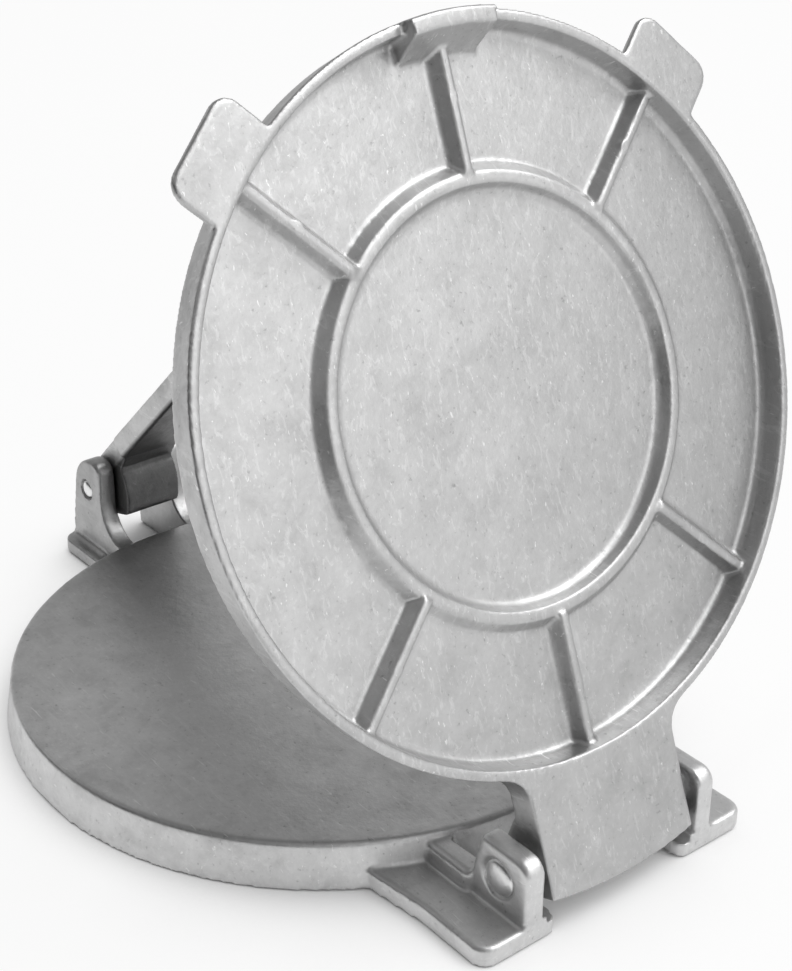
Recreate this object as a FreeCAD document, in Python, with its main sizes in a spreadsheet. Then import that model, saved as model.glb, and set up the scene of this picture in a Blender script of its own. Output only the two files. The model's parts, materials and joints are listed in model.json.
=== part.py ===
import FreeCAD, Part
import Sketcher
import math
import os

# Tortilla press of cast aluminium, in millimetres. A round base casting carries two pairs of ears.
# The lid casting turns on a pin between the wide pair, the lever casting on a pin between the narrow
# pair. At rest the lid stands open and leans on the tip of the lever, as in the photograph.
# +Z is up, +X runs from the lid's hinge to the lever, the origin is on the ground under the plate.

doc = FreeCAD.newDocument("tortilla_press")
sheet = doc.addObject("Spreadsheet::Sheet", "sizes")

# Driving sizes: name and value in millimetres, or in degrees where the name ends in angle
driving_sizes = [
    # base plate
    ("plate_radius", 100.0),
    ("base_height", 14.2),
    ("base_draft", 2.2),
    ("base_thickness", 6.6),
    ("base_wall", 3.8),
    ("base_edge", 0.9),
    ("under_ring_radius", 56.0),
    ("under_rib_thickness", 3.2),
    ("under_rib_clearance", 1.6),
    # hinge ears and their feet
    ("hinge_offset", 20.5),
    ("hinge_pin_height", 15.7),
    ("hinge_pin_radius", 4.8),
    ("hinge_mouth_margin", 1.1),
    ("hinge_ear_half_length", 11.6),
    ("hinge_ear_rise", 8.9),
    ("hinge_ear_round", 6.0),
    ("tongue_clearance", 1.1),
    ("hinge_ear_thickness", 6.5),
    ("hinge_foot_flange", 16.2),
    ("hinge_foot_flare", 2.6),
    ("hinge_foot_root_inset", 14.0),
    ("hinge_foot_waist_offset", 7.0),
    ("hinge_foot_waist_round", 22.0),
    ("foot_thickness", 6.0),
    ("foot_round", 5.5),
    ("foot_edge", 0.9),
    ("bead_width", 4.6),
    ("bead_offset", 1.6),
    ("bead_rise", 2.6),
    ("bead_round", 1.8),
    ("lip_width", 4.2),
    ("lip_height", 4.2),
    ("lip_round", 4.0),
    # lever ears and their feet
    ("lever_offset", 21.0),
    ("lever_pin_height", 27.5),
    ("lever_pin_radius", 3.0),
    ("lever_mouth_margin", 0.7),
    ("lever_ear_front", 10.9),
    ("lever_ear_back", 9.6),
    ("lever_ear_rise", 12.6),
    ("lever_head_clearance", 0.4),
    ("lever_ear_thickness", 6.5),
    ("lever_ear_round", 7.4),
    ("lever_foot_flange", 3.7),
    ("lever_foot_thickness", 5.4),
    ("lever_foot_round", 4.0),
    ("lever_web_height", 12.0),
    ("lever_web_round", 5.0),
    ("root_round", 2.4),
    # pins
    ("mouth_depth", 1.4),
    ("pin_fit", 0.03),
    ("turning_fit", 0.08),
    ("pin_chamfer", 0.9),
    ("pin_set_back", 0.1),
    # lid
    ("lid_inset", 1.4),
    ("lid_depth", 11.2),
    ("lid_draft", 1.7),
    ("closed_gap", 0.4),
    ("rim_width", 3.1),
    ("recess_slope_width", 1.2),
    ("floor_thickness", 3.8),
    ("centre_thickness", 3.3),
    ("ring_radius", 55.4),
    ("ring_width", 3.0),
    ("ring_outer_slope_width", 2.8),
    ("ring_inner_slope_width", 1.7),
    ("ring_rise", 3.4),
    ("recess_corner", 1.0),
    ("rib_rise", 4.25),
    ("rib_thickness", 3.2),
    ("rib_taper_angle", 9.0),
    ("front_rib_angle", 44.3),
    ("rear_rib_angle", 45.0),
    ("tab_length", 13.4),
    ("tab_half_width", 14.2),
    ("tab_thickness", 2.4),
    ("tab_round", 5.5),
    ("witness_radius", 1.8),
    ("boss_half_width", 14.0),
    ("boss_rise", 4.1),
    ("boss_top_width", 4.3),
    ("boss_slope_width", 6.8),
    ("boss_edge_round", 0.9),
    ("tongue_half_width", 26.2),
    ("tongue_end", 11.1),
    ("tongue_thickness", 9.2),
    ("tongue_blend", 9.0),
    ("knuckle_end", 8.2),
    ("knuckle_wall", 3.2),
    ("knuckle_front_length", 14.0),
    ("knuckle_round", 4.0),
    # lever
    ("lever_length", 239.3),
    ("lever_angle", 44.0),
    ("tip_gap", 0.55),
    ("lever_head_half_width", 10.6),
    ("lever_head_radius", 11.0),
    ("heel_radius", 17.5),
    ("heel_foot_half_width", 7.5),
    ("heel_depth", 1.5),
    ("head_round", 3.0),
    ("shoulder_distance", 23.5),
    ("lever_thickness", 7.4),
    ("lever_arm_half_width", 12.5),
    ("lever_side_angle", 0.8),
    ("lever_edge", 0.8),
    ("lever_tip_round", 6.5),
    ("lever_draft_angle", 8.0),
    ("shoulder_round", 1.5),
    # cuts run past the solid by this much
    ("overrun", 1.0),
]


class Size:
    # A number together with its formula over the cells of the sheet

    def __init__(self, value, text):
        self.value = value
        self.text = text

    def __add__(self, other):
        other = as_size(other)
        return Size(self.value + other.value, "(%s + %s)" % (self.text, other.text))

    def __sub__(self, other):
        other = as_size(other)
        return Size(self.value - other.value, "(%s - %s)" % (self.text, other.text))

    def __mul__(self, other):
        other = as_size(other)
        return Size(self.value * other.value, "(%s * %s)" % (self.text, other.text))

    def __truediv__(self, other):
        other = as_size(other)
        return Size(self.value / other.value, "(%s / %s)" % (self.text, other.text))

    def __neg__(self):
        return Size(-self.value, "(-%s)" % self.text)


def as_size(number):
    if isinstance(number, Size):
        return number
    return Size(float(number), repr(number))


def sine(angle):
    return Size(math.sin(math.radians(angle.value)), "sin(%s)" % angle.text)


def cosine(angle):
    return Size(math.cos(math.radians(angle.value)), "cos(%s)" % angle.text)


def arc_cosine(share):
    return Size(math.degrees(math.acos(share.value)), "(acos(%s) / 1 deg)" % share.text)


def arc_tangent(rise, run):
    text = "(atan2(%s; %s) / 1 deg)" % (rise.text, run.text)
    return Size(math.degrees(math.atan2(rise.value, run.value)), text)


def root(square):
    return Size(math.sqrt(square.value), "sqrt(%s)" % square.text)


size = {}
for row, (name, value) in enumerate(driving_sizes, start=1):
    sheet.set("A%d" % row, name)
    sheet.set("B%d" % row, str(value))
    sheet.setAlias("B%d" % row, name)
    size[name] = Size(value, "sizes." + name)
doc.recompute()

zero = Size(0.0, "0")
full_turn = 360
under_rib_count = 8
lid_rib_count = 3
find_share = 0.0005


# Shared places worked out from the driving sizes
hinge_distance = size["plate_radius"] + size["hinge_offset"]
hinge_x = -hinge_distance
hinge_ear_inner = size["tongue_half_width"] + size["tongue_clearance"]
hinge_ear_outer = hinge_ear_inner + size["hinge_ear_thickness"]
hinge_foot_end = hinge_distance + size["hinge_ear_half_length"]
hinge_foot_half_width = hinge_ear_outer + size["hinge_foot_flange"]
hinge_foot_root_distance = size["plate_radius"] - size["hinge_foot_root_inset"]
hinge_foot_waist_distance = size["plate_radius"] + size["hinge_foot_waist_offset"]
lever_x = size["plate_radius"] + size["lever_offset"]
lever_ear_inner = size["lever_head_half_width"] + size["lever_head_clearance"]
lever_ear_outer = lever_ear_inner + size["lever_ear_thickness"]
lever_foot_half_width = lever_ear_outer + size["lever_foot_flange"]
lid_radius = size["plate_radius"] - size["lid_inset"]
ring_top_outer = size["ring_radius"] + size["ring_width"]
ring_foot_outer = ring_top_outer + size["ring_outer_slope_width"]
ring_foot_inner = size["ring_radius"] - size["ring_inner_slope_width"]

# The lid's heights are measured from the hinge pin, with the lid shut
lid_face = size["base_height"] + size["closed_gap"] - size["hinge_pin_height"]
lid_top = lid_face + size["lid_depth"]
lid_floor = lid_face + size["floor_thickness"]
lid_centre = lid_face + size["centre_thickness"]


def lid_rest_angle():
    # The lid leans on the upper line of the chamfer under the lever's tip, less the gap
    lean = size["lever_draft_angle"]
    swing = size["lever_angle"]
    end = size["lever_length"] - size["lever_thickness"] / 2 * sine(lean) / cosine(lean)
    along = end + size["lever_edge"] * sine(lean)
    across = size["lever_edge"] * cosine(lean)
    run = hinge_distance + lever_x - along * cosine(swing) + across * sine(swing)
    climb = size["lever_pin_height"] - size["hinge_pin_height"]
    rise = climb + along * sine(swing) + across * cosine(swing)
    reach = root(run * run + rise * rise)
    return arc_cosine((lid_face - size["tip_gap"]) / reach) - arc_tangent(run, rise)


lid_angle = lid_rest_angle()

# The lever's foot reaches as far from the middle as the open lid's tongue does on the other side
tongue_sweep = size["tongue_end"] * cosine(lid_angle) + lid_top * sine(lid_angle)
lever_foot_end = hinge_distance + tongue_sweep


# Building helpers

def new_body(name):
    body = doc.addObject("PartDesign::Body", name)
    body.Label = name
    return body


def origin_feature(body, role):
    return [feature for feature in body.Origin.OriginFeatures if feature.Role == role][0]


def new_sketch(body, name, role, offset=None):
    # Plane roles: XY_Plane looks down Z, XZ_Plane shows X to the right and Z up, with -Y as normal
    sketch = body.newObject("Sketcher::SketchObject", name)
    sketch.AttachmentSupport = [(origin_feature(body, role), "")]
    sketch.MapMode = "FlatFace"
    if offset is not None:
        sketch.AttachmentOffset = FreeCAD.Placement(
            FreeCAD.Vector(0, 0, offset.value), FreeCAD.Rotation())
        sketch.setExpression("AttachmentOffset.Base.z", offset.text)
    return sketch


def bind(target, field, amount):
    setattr(target, field, amount.value)
    target.setExpression(field, amount.text)


def fix_point(sketch, geometry, vertex, x, y):
    for kind, place in (("DistanceX", x), ("DistanceY", y)):
        rule = Sketcher.Constraint(kind, -1, 1, geometry, vertex, place.value)
        number = sketch.addConstraint(rule)
        if place is not zero:
            sketch.setExpression("Constraints[%d]" % number, place.text)


def add_outline(sketch, corners):
    # Closed outline with each corner held by its formulas. A corner with a third and fourth entry
    # starts an arc of that radius to the next corner, counter-clockwise for 1, clockwise for -1.
    sides = []
    for index, corner in enumerate(corners):
        following = corners[(index + 1) % len(corners)]
        start = FreeCAD.Vector(corner[0].value, corner[1].value, 0)
        stop = FreeCAD.Vector(following[0].value, following[1].value, 0)
        if len(corner) == 2:
            number = sketch.addGeometry(Part.LineSegment(start, stop), False)
            sides.append((number, 1, 2))
            continue
        radius, turn = corner[2], corner[3]
        chord = stop - start
        across = FreeCAD.Vector(-chord.y, chord.x, 0).normalize()
        height = math.sqrt(radius.value ** 2 - (chord.Length / 2) ** 2)
        centre = start + chord / 2 + across * height * turn
        circle = Part.Circle(centre, FreeCAD.Vector(0, 0, 1), radius.value)
        first, last = (start, stop) if turn > 0 else (stop, start)
        first_angle = math.atan2(first.y - centre.y, first.x - centre.x)
        last_angle = math.atan2(last.y - centre.y, last.x - centre.x)
        number = sketch.addGeometry(Part.ArcOfCircle(circle, first_angle, last_angle), False)
        sides.append((number, 1, 2) if turn > 0 else (number, 2, 1))
        rule = sketch.addConstraint(Sketcher.Constraint("Radius", number, radius.value))
        sketch.setExpression("Constraints[%d]" % rule, radius.text)
    for index, side in enumerate(sides):
        following = sides[(index + 1) % len(sides)]
        sketch.addConstraint(
            Sketcher.Constraint("Coincident", side[0], side[2], following[0], following[1]))
    for side, corner in zip(sides, corners):
        fix_point(sketch, side[0], side[1], corner[0], corner[1])


def add_circle(sketch, x, y, radius):
    centre = FreeCAD.Vector(x.value, y.value, 0)
    number = sketch.addGeometry(Part.Circle(centre, FreeCAD.Vector(0, 0, 1), radius.value), False)
    fix_point(sketch, number, 3, x, y)
    rule = sketch.addConstraint(Sketcher.Constraint("Radius", number, radius.value))
    sketch.setExpression("Constraints[%d]" % rule, radius.text)


def settle(feature):
    # Rebuilds, and stops at the first feature that is in error or leaves no shape
    doc.recompute()
    if "Invalid" in feature.State or "Error" in feature.State or feature.Shape.isNull():
        raise RuntimeError(feature.Name + " is " + str(feature.State))
    return feature


def new_pad(body, name, sketch, length, reverse=False, both_ways=False):
    pad = body.newObject("PartDesign::Pad", name)
    pad.Profile = sketch
    bind(pad, "Length", length)
    pad.Reversed = reverse
    if both_ways:
        pad.SideType = "Symmetric"
    return settle(pad)


def new_pocket(body, name, sketch, length, reverse=False, both_ways=False):
    # A pocket that removes nothing points the wrong way
    before = body.Shape.Volume
    pocket = body.newObject("PartDesign::Pocket", name)
    pocket.Profile = sketch
    bind(pocket, "Length", length)
    pocket.Reversed = reverse
    if both_ways:
        pocket.SideType = "Symmetric"
    settle(pocket)
    if body.Shape.Volume >= before:
        raise RuntimeError(name + " cuts nothing")
    return pocket


def new_turning(body, name, sketch, angle=None):
    # Solid of revolution about the sketch's upright axis
    turning = body.newObject("PartDesign::Revolution", name)
    turning.Profile = sketch
    turning.ReferenceAxis = (sketch, ["V_Axis"])
    if angle is None:
        turning.Angle = full_turn
    else:
        bind(turning, "Angle", angle)
        turning.Midplane = True
    return settle(turning)


def new_pattern(body, name, originals, count, angle=None):
    # Repeats features round the body's upright axis
    pattern = body.newObject("PartDesign::PolarPattern", name)
    pattern.Originals = originals
    pattern.Axis = (origin_feature(body, "Z_Axis"), [""])
    if angle is None:
        pattern.Angle = full_turn
    else:
        bind(pattern, "Angle", angle)
    pattern.Occurrences = count
    body.Tip = pattern
    return settle(pattern)


def chosen_edges(feature, chosen):
    # Names of the feature's edges that the test picks out
    edges = []
    for index, edge in enumerate(feature.Shape.Edges, start=1):
        if chosen(edge):
            edges.append("Edge%d" % index)
    if not edges:
        raise RuntimeError("no edge found on " + feature.Label)
    return edges


def new_fillet(body, name, base, radius, chosen):
    fillet = body.newObject("PartDesign::Fillet", name)
    fillet.Base = (base, chosen_edges(base, chosen))
    bind(fillet, "Radius", radius)
    return settle(fillet)


def new_chamfer(body, name, base, width, chosen):
    chamfer = body.newObject("PartDesign::Chamfer", name)
    chamfer.Base = (base, chosen_edges(base, chosen))
    bind(chamfer, "Size", width)
    return settle(chamfer)


def mirror_across(body, name, role):
    # Adds the mirror image of the whole body so far
    mirrored = body.newObject("PartDesign::Mirrored", name)
    mirrored.TransformMode = "Whole shape"
    mirrored.MirrorPlane = (origin_feature(body, role), [""])
    body.Tip = mirrored
    return settle(mirrored)


def polar(distance, side, angle):
    # A point at a distance along a radius at the angle, and to one side of it
    x = distance * cosine(angle) - side * sine(angle)
    y = distance * sine(angle) + side * cosine(angle)
    return x, y


def outside_plate(edge):
    # True where the edge's middle lies beyond the plate's wall
    middle = edge.valueAt((edge.FirstParameter + edge.LastParameter) / 2)
    return math.hypot(middle.x, middle.y) > (size["plate_radius"] + size["base_draft"]).value


def near(first, second):
    # Edges are found to a small share of the plate's size
    return abs(first - second) < size["plate_radius"].value * find_share


def runs_along(edge, axis):
    # A straight edge along the named axis
    if edge.Curve.TypeId != "Part::GeomLine":
        return False
    direction = edge.tangentAt(edge.FirstParameter)
    return near(abs(getattr(direction, axis)) * size["plate_radius"].value, size["plate_radius"].value)


# Base casting: plate with a draughted wall, feet, ears, and a hollow, ribbed underside

base = new_body("base_casting")


def build_base_disc():
    sketch = new_sketch(base, "base_profile", "XZ_Plane")
    radius = size["plate_radius"]
    edge = size["base_edge"]
    add_outline(sketch, [
        (zero, zero),
        (radius + size["base_draft"], zero),
        (radius, size["base_height"] - edge),
        (radius - edge, size["base_height"]),
        (zero, size["base_height"]),
    ])
    new_turning(base, "base_disc", sketch)


def build_hinge_foot():
    # Foot plate on the +Y side, from inside the wall to the open end of the slot
    sketch = new_sketch(base, "hinge_foot_outline", "XY_Plane")
    inner = hinge_ear_inner
    outer = hinge_foot_half_width
    add_outline(sketch, [
        (-hinge_foot_end, inner),
        (-hinge_foot_root_distance, inner),
        (-hinge_foot_root_distance, hinge_foot_half_width + size["hinge_foot_flare"]),
        (-hinge_foot_waist_distance, outer),
        (-hinge_foot_end, outer),
    ])
    foot = new_pad(base, "hinge_foot", sketch, size["foot_thickness"])

    def outer_corner(edge):
        spot = edge.CenterOfMass
        at_corner = near(spot.x, -hinge_foot_end.value) and near(spot.y, outer.value)
        return runs_along(edge, "z") and at_corner

    def waist(edge):
        return runs_along(edge, "z") and near(edge.CenterOfMass.x, -hinge_foot_waist_distance.value)

    def top_edge(edge):
        # The foot's upper rim outside the plate, except along the slot
        box = edge.BoundBox
        level = near(box.ZMin, size["foot_thickness"].value) and near(box.ZMax, box.ZMin)
        return level and box.YMax > inner.value + size["foot_round"].value and outside_plate(edge)

    foot = new_fillet(base, "hinge_foot_corner", foot, size["foot_round"], outer_corner)
    foot = new_fillet(base, "hinge_foot_waist", foot, size["hinge_foot_waist_round"], waist)
    new_chamfer(base, "hinge_foot_rim", foot, size["foot_edge"], top_edge)


def build_hinge_ear():
    # The ear stands on the foot beside the slot, with the lips and the bead low on either side
    inner = hinge_ear_inner
    reach = size["hinge_ear_half_length"]
    top = size["hinge_pin_height"] + size["hinge_ear_rise"]
    sketch = new_sketch(base, "hinge_ear_outline", "XZ_Plane", -inner)
    add_outline(sketch, [
        (hinge_x - reach, zero),
        (hinge_x + reach, zero),
        (hinge_x + reach, top),
        (hinge_x - reach, top),
    ])
    ear = new_pad(base, "hinge_ear", sketch, size["hinge_ear_thickness"], reverse=True)

    def top_corner(edge):
        return runs_along(edge, "y") and near(edge.CenterOfMass.z, top.value)

    ear = new_fillet(base, "hinge_ear_corners", ear, size["hinge_ear_round"], top_corner)

    bead_start = hinge_ear_outer - size["bead_offset"]
    bead_end = bead_start + size["bead_width"]
    bead_top = size["foot_thickness"] + size["bead_rise"]
    bead_round = size["bead_round"]
    sketch = new_sketch(base, "bead_profile", "YZ_Plane", -hinge_foot_root_distance)
    add_outline(sketch, [
        (bead_start, zero),
        (bead_end, zero),
        (bead_end, bead_top - bead_round, bead_round, 1),
        (bead_end - bead_round, bead_top),
        (bead_start + bead_round, bead_top, bead_round, 1),
        (bead_start, bead_top - bead_round),
    ])
    bead_length = -(hinge_x + reach) - hinge_foot_root_distance + size["overrun"]
    new_pad(base, "bead", sketch, bead_length, reverse=True)

    sketch = new_sketch(base, "lip_outline", "XY_Plane")
    add_outline(sketch, [
        (-hinge_foot_end, inner - size["lip_width"]),
        (-hinge_foot_end, inner + size["overrun"]),
        (hinge_x + reach, inner + size["overrun"]),
        (hinge_x + reach, inner - size["lip_width"]),
    ])
    lip = new_pad(base, "lip", sketch, size["lip_height"])

    def lip_corner(edge):
        spot = edge.CenterOfMass
        at_side = near(spot.y, (inner - size["lip_width"]).value)
        return runs_along(edge, "z") and near(spot.x, -hinge_foot_end.value) and at_side

    lip = new_fillet(base, "lip_corner", lip, size["lip_round"], lip_corner)

    build_root("hinge_ear_root", "YZ_Plane", hinge_x - reach, hinge_ear_outer,
               size["foot_thickness"], reach * 2)


def build_root(name, role, start, face, level, length):
    # Hollow round where an ear's face meets its foot, drawn across the edge and run along it
    width = size["root_round"]
    sketch = new_sketch(base, name + "_profile", role, start)
    add_outline(sketch, [
        (face - size["overrun"], zero),
        (face + width, zero),
        (face + width, level, width, -1),
        (face, level + width),
        (face - size["overrun"], level + width),
    ])
    new_pad(base, name, sketch, length)


def build_lever_ear():
    # Foot, low wall back to the plate and rounded ear, all on the +Y side
    inner = lever_ear_inner
    front = lever_x - size["lever_ear_front"]
    back = lever_x + size["lever_ear_back"]
    inside = size["plate_radius"] - size["base_wall"]
    sketch = new_sketch(base, "lever_foot_outline", "XY_Plane")
    add_outline(sketch, [
        (inside, inner),
        (lever_foot_end, inner),
        (lever_foot_end, lever_foot_half_width),
        (inside, lever_foot_half_width),
    ])
    foot = new_pad(base, "lever_foot", sketch, size["lever_foot_thickness"])

    def outer_corner(edge):
        spot = edge.CenterOfMass
        at_side = near(spot.y, lever_foot_half_width.value)
        return runs_along(edge, "z") and near(spot.x, lever_foot_end.value) and at_side

    new_fillet(base, "lever_foot_corner", foot, size["lever_foot_round"], outer_corner)

    top = size["lever_pin_height"] + size["lever_ear_rise"]
    sketch = new_sketch(base, "lever_ear_outline", "XZ_Plane", -inner)
    add_outline(sketch, [
        (inside, zero),
        (back, zero),
        (back, top),
        (front, top),
        (front, size["lever_web_height"]),
        (inside, size["lever_web_height"]),
    ])
    ear = new_pad(base, "lever_ear", sketch, size["lever_ear_thickness"], reverse=True)

    def top_corner(edge):
        return runs_along(edge, "y") and near(edge.CenterOfMass.z, top.value)

    def web_corner(edge):
        spot = edge.CenterOfMass
        on_ear = near(spot.x, front.value)
        return runs_along(edge, "y") and on_ear and near(spot.z, size["lever_web_height"].value)

    ear = new_fillet(base, "lever_ear_top", ear, size["lever_ear_round"], top_corner)
    new_fillet(base, "lever_ear_web", ear, size["lever_web_round"], web_corner)

    level = size["lever_foot_thickness"]
    build_root("lever_ear_root", "YZ_Plane", front, lever_ear_outer, level, back - front)
    build_root("lever_ear_heel", "XZ_Plane", -lever_ear_outer, back, level,
               size["lever_ear_thickness"])


def bore_ear(name, x, height, radius, mouth_radius, outer):
    # Pin hole through both ears and a shallow mouth in each outer face
    sketch = new_sketch(base, name + "_circle", "XZ_Plane")
    add_circle(sketch, x, height, radius)
    new_pocket(base, name, sketch, (outer + size["overrun"]) * 2, both_ways=True)
    for side, offset in (("near", outer), ("far", -outer)):
        sketch = new_sketch(base, name + "_mouth_circle_" + side, "XZ_Plane", -offset)
        add_circle(sketch, x, height, mouth_radius)
        label = name + "_mouth_" + side
        new_pocket(base, label, sketch, size["mouth_depth"] * 2, both_ways=True)


def hollow_underside():
    # Everything between wall and ring and inside the ring is cast away up to the plate
    ceiling = size["base_height"] - size["base_thickness"]
    wall = size["plate_radius"] - size["base_wall"]
    rib = size["under_rib_thickness"]
    sketch = new_sketch(base, "hollow_profile", "XZ_Plane")
    add_outline(sketch, [
        (size["under_ring_radius"] + rib / 2, -size["overrun"]),
        (wall + size["base_draft"], -size["overrun"]),
        (wall, ceiling),
        (size["under_ring_radius"] + rib / 2, ceiling),
    ])
    add_outline(sketch, [
        (zero, -size["overrun"]),
        (size["under_ring_radius"] - rib / 2, -size["overrun"]),
        (size["under_ring_radius"] - rib / 2, ceiling),
        (zero, ceiling),
    ])
    before = base.Shape.Volume
    groove = base.newObject("PartDesign::Groove", "hollow")
    groove.Profile = sketch
    groove.ReferenceAxis = (sketch, ["V_Axis"])
    groove.Angle = full_turn
    settle(groove)
    if base.Shape.Volume >= before:
        raise RuntimeError("hollow cuts nothing")

    sketch = new_sketch(base, "under_rib_outline", "XY_Plane", size["under_rib_clearance"])
    add_outline(sketch, [
        (size["under_ring_radius"], -rib / 2),
        (wall + size["overrun"], -rib / 2),
        (wall + size["overrun"], rib / 2),
        (size["under_ring_radius"], rib / 2),
    ])
    height = ceiling - size["under_rib_clearance"] + size["overrun"]
    seed = new_pad(base, "under_rib", sketch, height)
    new_pattern(base, "under_ribs", [seed], under_rib_count)


def build_base():
    build_base_disc()
    build_hinge_foot()
    build_hinge_ear()
    build_lever_ear()
    mirror_across(base, "both_sides", "XZ_Plane")
    bore_ear("hinge_bore", hinge_x, size["hinge_pin_height"],
             size["hinge_pin_radius"] + size["pin_fit"], size["hinge_pin_radius"] + size["hinge_mouth_margin"], hinge_ear_outer)
    bore_ear("lever_bore", lever_x, size["lever_pin_height"],
             size["lever_pin_radius"] + size["pin_fit"], size["lever_pin_radius"] + size["lever_mouth_margin"], lever_ear_outer)
    hollow_underside()


# Lid casting: built shut about its own centre, heights from the hinge pin

lid = new_body("lid_casting")


def build_lid_disc():
    sketch = new_sketch(lid, "lid_profile", "XZ_Plane")
    radius = lid_radius
    recess = radius - size["rim_width"]
    slope_foot = recess - size["recess_slope_width"]
    corner = size["recess_corner"]
    ring_top = lid_floor + size["ring_rise"]
    ring_drop = ring_top - lid_centre
    ring_lean = (size["ring_radius"] - ring_foot_inner) / ring_drop
    add_outline(sketch, [
        (zero, lid_face),
        (radius - size["lid_draft"], lid_face),
        (radius, lid_top),
        (recess, lid_top),
        (slope_foot + corner * size["recess_slope_width"] / (lid_top - lid_floor), lid_floor + corner),
        (slope_foot - corner, lid_floor),
        (ring_foot_outer, lid_floor),
        (ring_top_outer, ring_top),
        (size["ring_radius"], ring_top),
        (ring_foot_inner + corner * ring_lean, lid_centre + corner),
        (ring_foot_inner - corner, lid_centre),
        (zero, lid_centre),
    ])
    new_turning(lid, "lid_disc", sketch)


def build_tab():
    # Lifting tab at the rim's front, between rim and open air
    angle = size["front_rib_angle"]
    root_distance = lid_radius - size["rim_width"] + size["overrun"]
    reach = lid_radius + size["tab_length"]
    sketch = new_sketch(lid, "tab_outline", "XY_Plane", lid_top)
    half = size["tab_half_width"]
    add_outline(sketch, [
        polar(root_distance, -half, angle),
        polar(reach, -half, angle),
        polar(reach, half, angle),
        polar(root_distance, half, angle),
    ])
    tab = new_pad(lid, "tab", sketch, size["tab_thickness"], reverse=True)

    def tip_corner(edge):
        if not runs_along(edge, "z"):
            return False
        spot = edge.CenterOfMass
        for side in (-half, half):
            x, y = polar(reach, side, angle)
            if near(spot.x, x.value) and near(spot.y, y.value):
                return True
        return False

    new_fillet(lid, "tab_corners", tab, size["tab_round"], tip_corner)
    return mirror_across(lid, "both_tabs", "XZ_Plane")


def build_ribs(name, start_angle, spacing_angle):
    # Three draughted ribs, one spacing apart, between the ring and the rim, each with the round
    # witness of an ejector pin halfway along
    inner = ring_top_outer
    outer = lid_radius - size["rim_width"] / 2
    half = size["rib_thickness"] / 2
    level = lid_floor - size["overrun"]
    sketch = new_sketch(lid, name + "_outline", "XY_Plane", level)
    add_outline(sketch, [
        polar(inner, -half, start_angle),
        polar(outer, -half, start_angle),
        polar(outer, half, start_angle),
        polar(inner, half, start_angle),
    ])
    seed = new_pad(lid, name, sketch, size["rib_rise"] + size["overrun"])
    bind(seed, "TaperAngle", -size["rib_taper_angle"])
    sketch = new_sketch(lid, name + "_witness_circle", "XY_Plane", level)
    middle = polar((inner + outer) / 2, zero, start_angle)
    add_circle(sketch, middle[0], middle[1], size["witness_radius"])
    witness = new_pad(lid, name + "_witness", sketch, size["rib_rise"] + size["overrun"])
    return new_pattern(lid, name + "s", [seed, witness], lid_rib_count, spacing_angle * 2)


def build_boss():
    # Pressure boss over the rim, opposite the hinge: its inner side slopes to the recess floor
    radius = lid_radius
    top = lid_top + size["boss_rise"]
    sketch = new_sketch(lid, "boss_profile", "XZ_Plane")
    crest = radius - size["boss_top_width"]
    add_outline(sketch, [
        (radius - size["lid_draft"], lid_floor - size["overrun"]),
        (radius, lid_top),
        (radius, top),
        (crest, top),
        (crest - size["boss_slope_width"], lid_floor - size["overrun"]),
    ])
    half_angle = arc_tangent(size["boss_half_width"], radius)
    boss = new_turning(lid, "boss", sketch, half_angle * 2)

    def boss_edge(edge):
        curved = edge.Curve.TypeId == "Part::GeomCircle"
        return curved and near(edge.BoundBox.ZMin, top.value) and near(edge.BoundBox.ZMax, top.value)

    new_fillet(lid, "boss_edges", boss, size["boss_edge_round"], boss_edge)


def build_tongue():
    # Flat tongue level with the rim and blended into it, its end bowed about the lid's centre, with
    # the knuckle round the hinge pin below it
    half = size["tongue_half_width"]
    bow = hinge_distance + size["tongue_end"]
    corner_x = -root(bow * bow - half * half)
    blend = size["tongue_blend"]
    radius = lid_radius
    blend_reach = radius + blend
    blend_offset = half + blend
    blend_x = -root(blend_reach * blend_reach - blend_offset * blend_offset)
    touch_x = blend_x * radius / blend_reach
    touch_y = blend_offset * radius / blend_reach
    inside = radius - size["rim_width"] / 2
    inside_x = touch_x * inside / radius
    inside_y = touch_y * inside / radius
    sketch = new_sketch(lid, "tongue_outline", "XY_Plane", lid_top)
    add_outline(sketch, [
        (corner_x, -half),
        (blend_x, -half, blend, -1),
        (touch_x, -touch_y),
        (inside_x, -inside_y, inside, -1),
        (inside_x, inside_y),
        (touch_x, touch_y, blend, -1),
        (blend_x, half),
        (corner_x, half, bow, 1),
    ])
    new_pad(lid, "tongue", sketch, size["tongue_thickness"], reverse=True)

    underside = lid_top - size["tongue_thickness"]
    drop = size["hinge_pin_radius"] + size["knuckle_wall"]
    bottom = -drop
    end = hinge_x - size["knuckle_end"]
    sketch = new_sketch(lid, "knuckle_outline", "XZ_Plane")
    add_outline(sketch, [
        (end, underside + size["overrun"]),
        (end, bottom / 3),
        (hinge_x - drop / 2, bottom),
        (hinge_x + drop / 2, bottom),
        (hinge_x + size["knuckle_front_length"], underside),
        (hinge_x + size["knuckle_front_length"], underside + size["overrun"]),
    ])
    knuckle = new_pad(lid, "knuckle", sketch, half * 2, both_ways=True)

    def knuckle_edge(edge):
        spot = edge.CenterOfMass
        return runs_along(edge, "y") and spot.z < 0 and spot.x < hinge_x.value + half.value

    new_fillet(lid, "knuckle_edges", knuckle, size["knuckle_round"], knuckle_edge)
    sketch = new_sketch(lid, "knuckle_bore_circle", "XZ_Plane")
    add_circle(sketch, hinge_x, zero, size["hinge_pin_radius"] + size["turning_fit"])
    new_pocket(lid, "knuckle_bore", sketch, (half + size["overrun"]) * 2, both_ways=True)


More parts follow.
